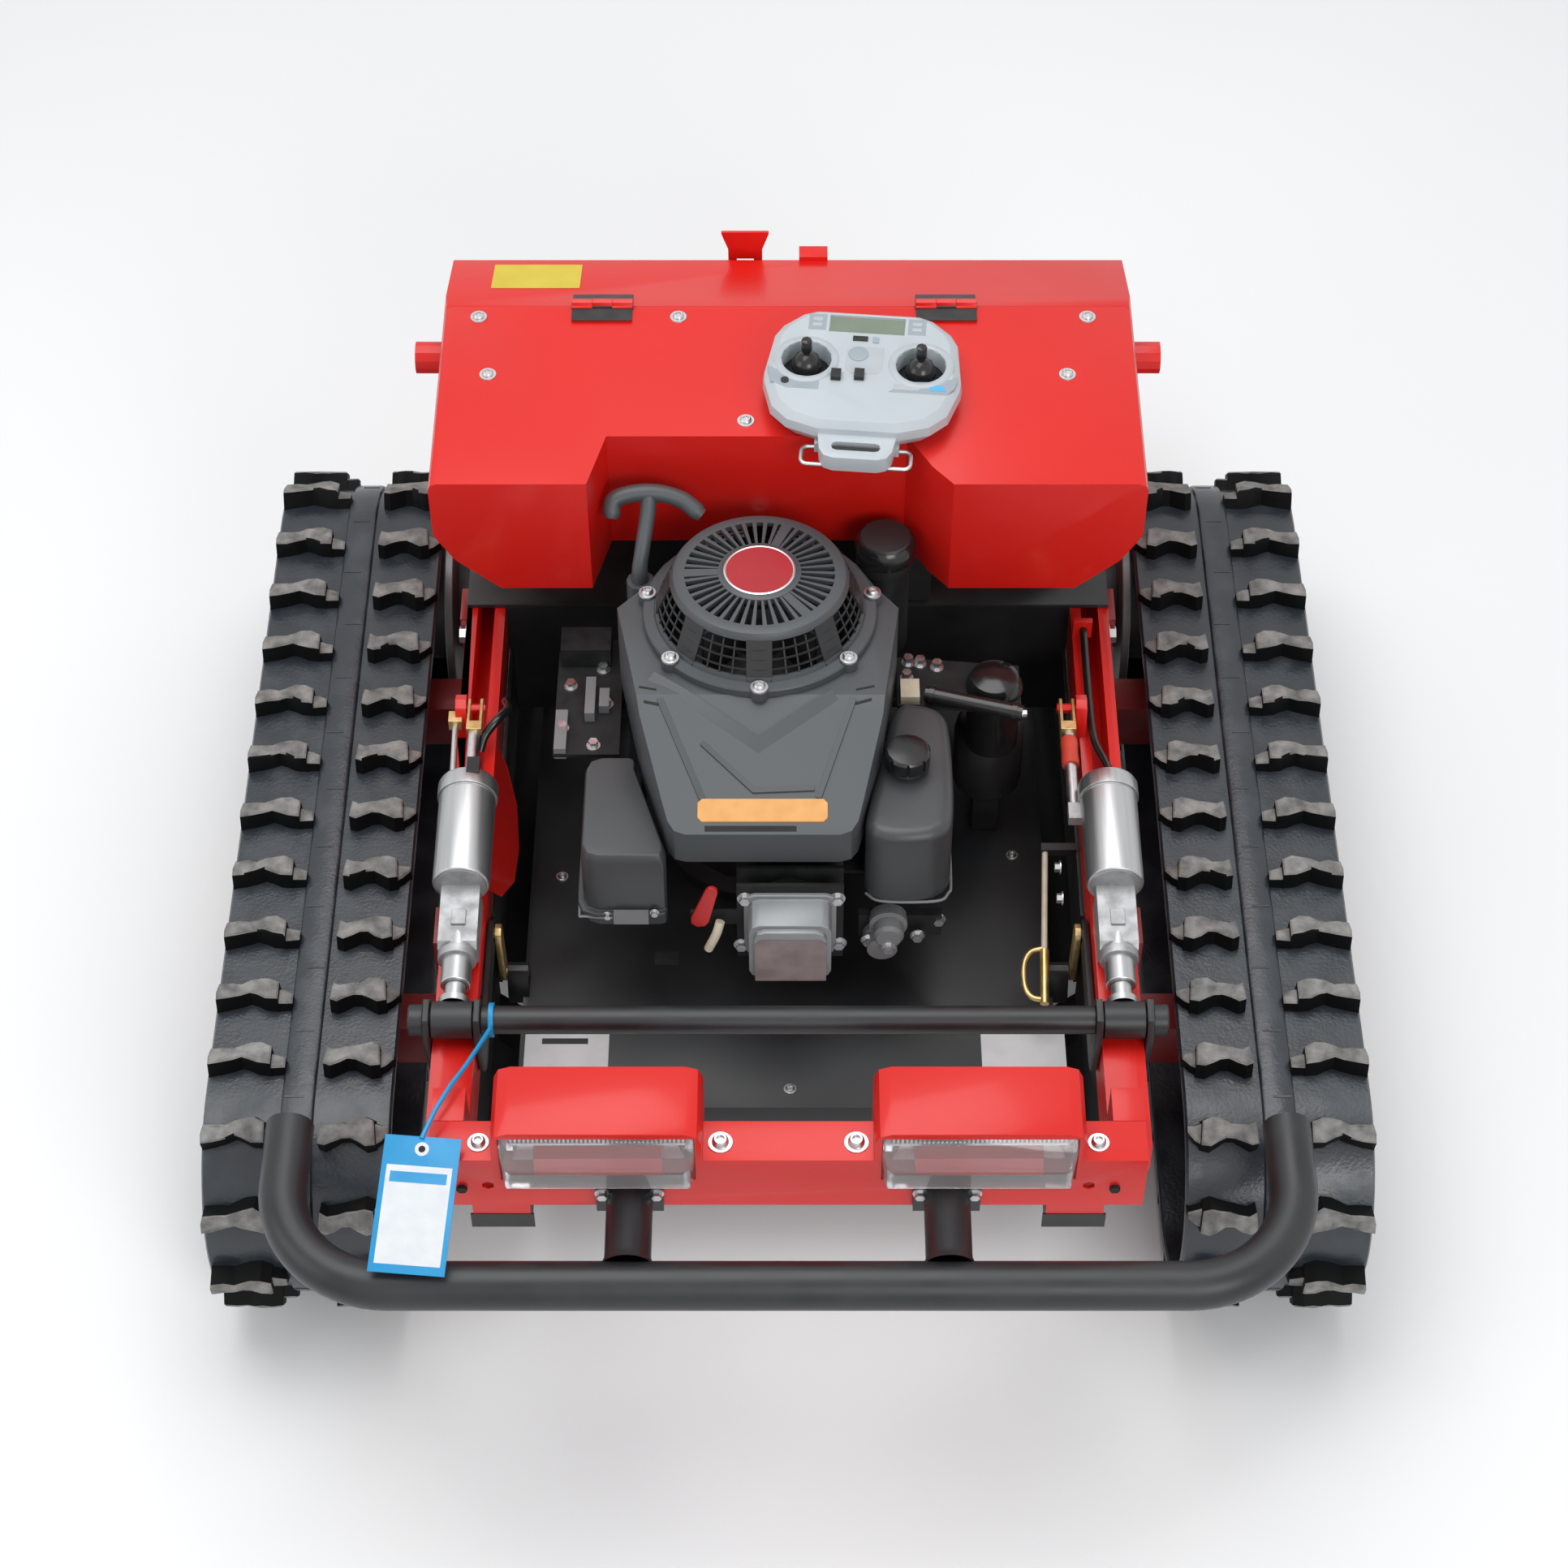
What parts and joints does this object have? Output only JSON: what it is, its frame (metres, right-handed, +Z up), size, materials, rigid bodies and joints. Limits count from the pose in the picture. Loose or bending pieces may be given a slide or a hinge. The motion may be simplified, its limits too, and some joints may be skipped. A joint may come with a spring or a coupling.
{
  "type": "remote control slope mower",
  "caption": "Tracked remote controlled slope mower with a front brush bar, lift arms, a petrol engine on its cutting deck, a rear hood and a hand held transmitter.",
  "frame": {"origin": "centre of the ground contact box, on the ground, midway between the tracks", "axes": "+X to the right of a person who stands in front of the machine and looks at it, +Y from the front bumper to the rear hood, +Z up"},
  "size_m": [1.12, 1.1614, 0.6618],
  "materials": {
    "red_paint": "gloss",
    "dark_red_paint": "satin, dusty",
    "black_paint": "satin powder coat",
    "black_plastic": "fine grained",
    "track_rubber": "matt, dusty",
    "grey_metal": "satin",
    "cast_aluminium": "cast, satin",
    "bright_steel": "machined",
    "zinc_yellow": "yellow zinc plating",
    "lamp_plastic": "clear lens over a bright cup",
    "pale_grey_plastic": "satin",
    "tag_blue": "smooth",
    "choke_red": "smooth"
  },
  "bodies": {
    "chassis": {"front_crossmember": "red_paint", "headlamp_right": "lamp_plastic", "headlamp_left": "lamp_plastic", "bumper": "black_paint", "side_arm_right": "red_paint", "side_arm_left": "red_paint", "rear_frame": "black_paint", "battery_box": "black_paint", "track_frame_right": "dark_red_paint", "track_frame_left": "dark_red_paint", "drive_motor_right": "black_paint", "drive_motor_left": "black_paint", "track_right": "track_rubber", "track_left": "track_rubber", "hood": "red_paint", "cable_conduit_right": "black_plastic"},
    "idler_right": {"idler_right": "black_paint"},
    "sprocket_right": {"sprocket_right": "grey_metal"},
    "road_roller_right_1": {"road_roller_right_1": "black_paint"},
    "road_roller_right_2": {"road_roller_right_2": "black_paint"},
    "road_roller_right_3": {"road_roller_right_3": "black_paint"},
    "idler_left": {"idler_left": "black_paint"},
    "sprocket_left": {"sprocket_left": "grey_metal"},
    "road_roller_left_1": {"road_roller_left_1": "black_paint"},
    "road_roller_left_2": {"road_roller_left_2": "black_paint"},
    "road_roller_left_3": {"road_roller_left_3": "black_paint"},
    "rear_door": {"rear_door": "red_paint"},
    "latch_lever": {"latch_lever": "red_paint"},
    "deck": {"deck_shell": "black_paint", "engine_block": "cast_aluminium", "valve_cover": "cast_aluminium", "engine_shroud": "black_plastic", "fan_cover": "black_plastic", "fuel_tank": "black_plastic", "air_filter_box": "black_plastic", "muffler": "black_paint", "starter_motor": "black_paint", "carburettor": "cast_aluminium"},
    "crankshaft": {"blade_spindle": "bright_steel", "blade": "black_paint", "flywheel": "cast_aluminium"},
    "fuel_cap": {"fuel_cap": "black_plastic"},
    "recoil_handle": {"recoil_handle": "black_plastic"},
    "choke_lever": {"choke_lever": "choke_red"},
    "lift": {"lift_crossbar": "black_paint", "rocker_right": "black_paint", "rocker_left": "black_paint"},
    "lift_link_right": {"lift_link_right": "black_paint"},
    "actuator_right": {"actuator_right": "cast_aluminium"},
    "actuator_rod_right": {"actuator_rod_right": "bright_steel"},
    "lift_link_left": {"lift_link_left": "black_paint"},
    "actuator_left": {"actuator_left": "cast_aluminium"},
    "actuator_rod_left": {"actuator_rod_left": "bright_steel"},
    "hang_tag": {"hang_tag": "tag_blue"},
    "transmitter": {"transmitter": "pale_grey_plastic"},
    "stick_right": {"stick_right": "black_plastic"},
    "stick_left": {"stick_left": "black_plastic"},
    "transmitter_bail": {"transmitter_bail": "bright_steel"}
  },
  "joints": [
    {"name": "idler_right_spin", "type": "hinge", "parent": "chassis", "child": "idler_right", "pos_m": [0.47, -0.312, 0.1455], "axis": [1, 0, 0], "continuous": true},
    {"name": "sprocket_right_spin", "type": "hinge", "parent": "chassis", "child": "sprocket_right", "pos_m": [0.47, 0.435, 0.1455], "axis": [1, 0, 0], "continuous": true},
    {"name": "road_roller_right_1_spin", "type": "hinge", "parent": "chassis", "child": "road_roller_right_1", "pos_m": [0.47, -0.15, 0.0718], "axis": [1, 0, 0], "continuous": true},
    {"name": "road_roller_right_2_spin", "type": "hinge", "parent": "chassis", "child": "road_roller_right_2", "pos_m": [0.47, 0.04, 0.0718], "axis": [1, 0, 0], "continuous": true},
    {"name": "road_roller_right_3_spin", "type": "hinge", "parent": "chassis", "child": "road_roller_right_3", "pos_m": [0.47, 0.23, 0.0718], "axis": [1, 0, 0], "continuous": true},
    {"name": "idler_left_spin", "type": "hinge", "parent": "chassis", "child": "idler_left", "pos_m": [-0.47, -0.312, 0.1455], "axis": [1, 0, 0], "continuous": true},
    {"name": "sprocket_left_spin", "type": "hinge", "parent": "chassis", "child": "sprocket_left", "pos_m": [-0.47, 0.435, 0.1455], "axis": [1, 0, 0], "continuous": true},
    {"name": "road_roller_left_1_spin", "type": "hinge", "parent": "chassis", "child": "road_roller_left_1", "pos_m": [-0.47, -0.15, 0.0718], "axis": [1, 0, 0], "continuous": true},
    {"name": "road_roller_left_2_spin", "type": "hinge", "parent": "chassis", "child": "road_roller_left_2", "pos_m": [-0.47, 0.04, 0.0718], "axis": [1, 0, 0], "continuous": true},
    {"name": "road_roller_left_3_spin", "type": "hinge", "parent": "chassis", "child": "road_roller_left_3", "pos_m": [-0.47, 0.23, 0.0718], "axis": [1, 0, 0], "continuous": true},
    {"name": "deck_lift", "type": "hinge", "parent": "chassis", "child": "lift", "pos_m": [0, -0.279, 0.285], "axis": [1, 0, 0], "range_deg": [-12, 4.5]},
    {"name": "deck_pivot", "type": "hinge", "parent": "chassis", "child": "deck", "pos_m": [0, 0.445, 0.134], "axis": [1, 0, 0], "range_deg": [-1.2, 3.1]},
    {"name": "lift_link_right_pivot", "type": "hinge", "parent": "deck", "child": "lift_link_right", "pos_m": [0.287, -0.12886, 0.20926], "axis": [1, 0, 0], "range_deg": [-4.8, 1.85]},
    {"name": "actuator_right_pivot", "type": "hinge", "parent": "chassis", "child": "actuator_right", "pos_m": [0.318, 0.095, 0.356], "axis": [1, 0, 0], "range_deg": [-0.2, 0.1]},
    {"name": "actuator_right_stroke", "type": "slide", "parent": "actuator_right", "child": "actuator_rod_right", "axis": [0, -1, 0], "range_m": [-0.0138, 0.0054]},
    {"name": "lift_link_left_pivot", "type": "hinge", "parent": "deck", "child": "lift_link_left", "pos_m": [-0.287, -0.12886, 0.20926], "axis": [1, 0, 0], "range_deg": [-4.8, 1.85]},
    {"name": "actuator_left_pivot", "type": "hinge", "parent": "chassis", "child": "actuator_left", "pos_m": [-0.318, 0.095, 0.356], "axis": [1, 0, 0], "range_deg": [-0.2, 0.1]},
    {"name": "actuator_left_stroke", "type": "slide", "parent": "actuator_left", "child": "actuator_rod_left", "axis": [0, -1, 0], "range_m": [-0.0138, 0.0054]},
    {"name": "hang_tag_swing", "type": "hinge", "parent": "lift", "child": "hang_tag", "pos_m": [-0.281, -0.287, 0.35], "axis": [1, 0, 0], "range_deg": [-5, 12.5]},
    {"name": "crankshaft_spin", "type": "hinge", "parent": "deck", "child": "crankshaft", "pos_m": [-0.028, 0.0857, 0.1703], "axis": [0, 0.0785, 0.9969], "continuous": true},
    {"name": "fuel_cap_lift", "type": "slide", "parent": "deck", "child": "fuel_cap", "axis": [0, 0.0785, 0.9969], "range_m": [0, 0.05]},
    {"name": "recoil_handle_pull", "type": "slide", "parent": "deck", "child": "recoil_handle", "axis": [0, 0.0785, 0.9969], "range_m": [0, 0.45], "stiffness_N_per_m": 20, "springref_m": -0.3},
    {"name": "choke_lever_turn", "type": "hinge", "parent": "deck", "child": "choke_lever", "pos_m": [-0.086, -0.158, 0.336], "axis": [0, 0.9969, -0.0785], "range_deg": [-40, 15]},
    {"name": "rear_door_hinge", "type": "hinge", "parent": "chassis", "child": "rear_door", "pos_m": [0, 0.42815, 0.6048], "axis": [1, 0, 0], "range_deg": [0, 95]},
    {"name": "latch_lever_turn", "type": "hinge", "parent": "rear_door", "child": "latch_lever", "pos_m": [-0.045, 0.5518, 0.534], "axis": [-1, 0, 0], "range_deg": [0, 60]},
    {"name": "transmitter_lift_off", "type": "slide", "parent": "chassis", "child": "transmitter", "axis": [0, 0, 1], "range_m": [0, 0.3]},
    {"name": "stick_right_tilt", "type": "hinge", "parent": "transmitter", "child": "stick_right", "pos_m": [0.132, 0.303, 0.6278], "axis": [0.9962, -0.0872, 0], "range_deg": [-20, 20], "stiffness_Nm_per_rad": 0.05},
    {"name": "stick_left_tilt", "type": "hinge", "parent": "transmitter", "child": "stick_left", "pos_m": [0.0184, 0.3129, 0.6278], "axis": [0.9962, -0.0872, 0], "range_deg": [-20, 20], "stiffness_Nm_per_rad": 0.05},
    {"name": "transmitter_bail_fold", "type": "hinge", "parent": "transmitter", "child": "transmitter_bail", "pos_m": [0.0676, 0.2203, 0.6027], "axis": [0.9962, -0.0872, 0], "range_deg": [0, 60]}
  ],
  "couplings": [
    {"joint": "deck_pivot", "follows": "deck_lift", "ratio": -0.2508},
    {"joint": "lift_link_right_pivot", "follows": "deck_lift", "ratio": 0.3952},
    {"joint": "actuator_right_pivot", "follows": "deck_lift", "ratio": 0.0136},
    {"joint": "actuator_right_stroke", "follows": "deck_lift", "m_per_rad": 0.0651},
    {"joint": "lift_link_left_pivot", "follows": "deck_lift", "ratio": 0.3952},
    {"joint": "actuator_left_pivot", "follows": "deck_lift", "ratio": 0.0136},
    {"joint": "actuator_left_stroke", "follows": "deck_lift", "m_per_rad": 0.0651},
    {"joint": "hang_tag_swing", "follows": "deck_lift", "ratio": -1}
  ]
}
